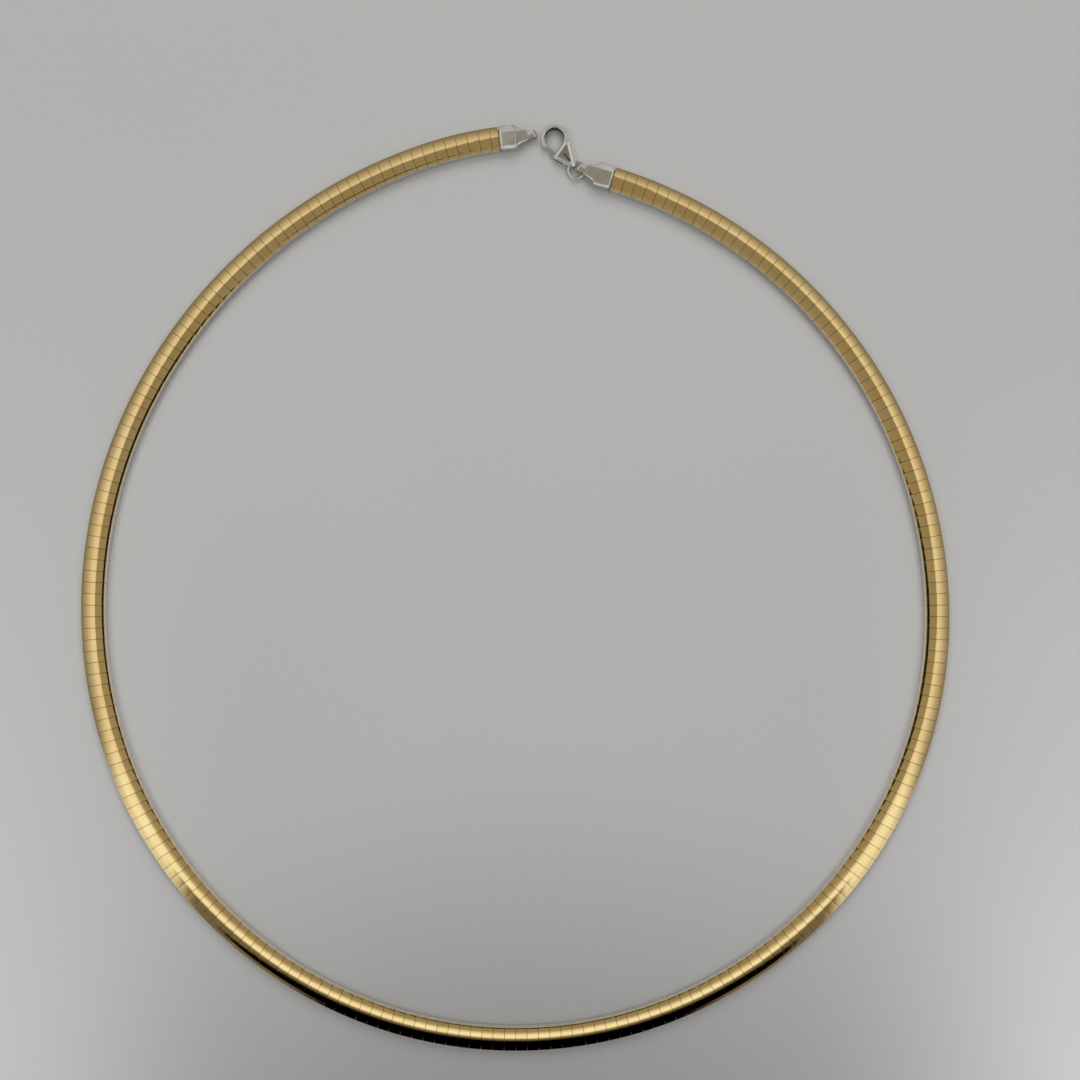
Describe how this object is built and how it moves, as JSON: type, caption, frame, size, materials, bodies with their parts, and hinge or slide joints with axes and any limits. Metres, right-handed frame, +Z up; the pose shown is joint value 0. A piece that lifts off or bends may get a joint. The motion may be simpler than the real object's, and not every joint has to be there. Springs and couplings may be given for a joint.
{
  "type": "choker, a flat omega collar necklace with a lobster clasp",
  "caption": "Flat domed collar necklace of plates crimped on a woven core, with end caps, a jump ring and a lobster clasp, lying open on a table.",
  "frame": {"origin": "middle of the necklace's box, on the table it lies on", "axes": "+Z up from the table; +Y from the middle of the necklace towards its ends and clasp; +X to the right seen from above"},
  "size_m": [0.1378, 0.1472, 0.0018],
  "materials": {
    "polished_gold": "mirror-polished yellow gold plates",
    "woven_core": "fine gold wire mesh, satin",
    "white_metal": "polished white gold with soft wear"
  },
  "bodies": {
    "necklace": {"band_plates": "polished_gold", "core_band": "woven_core", "end_cap_left": "white_metal", "end_cap_right": "white_metal", "jump_ring": "white_metal", "clasp_body": "white_metal", "clasp_pin": "white_metal"},
    "lever": {"clasp_lever": "white_metal"}
  },
  "joints": [
    {"name": "lever_pivot", "type": "hinge", "parent": "necklace", "child": "lever", "pos_m": [0.0079, 0.06864, 0.00065], "axis": [0, 0, -1], "range_deg": [0, 25], "stiffness_Nm_per_rad": 0.0001}
  ]
}
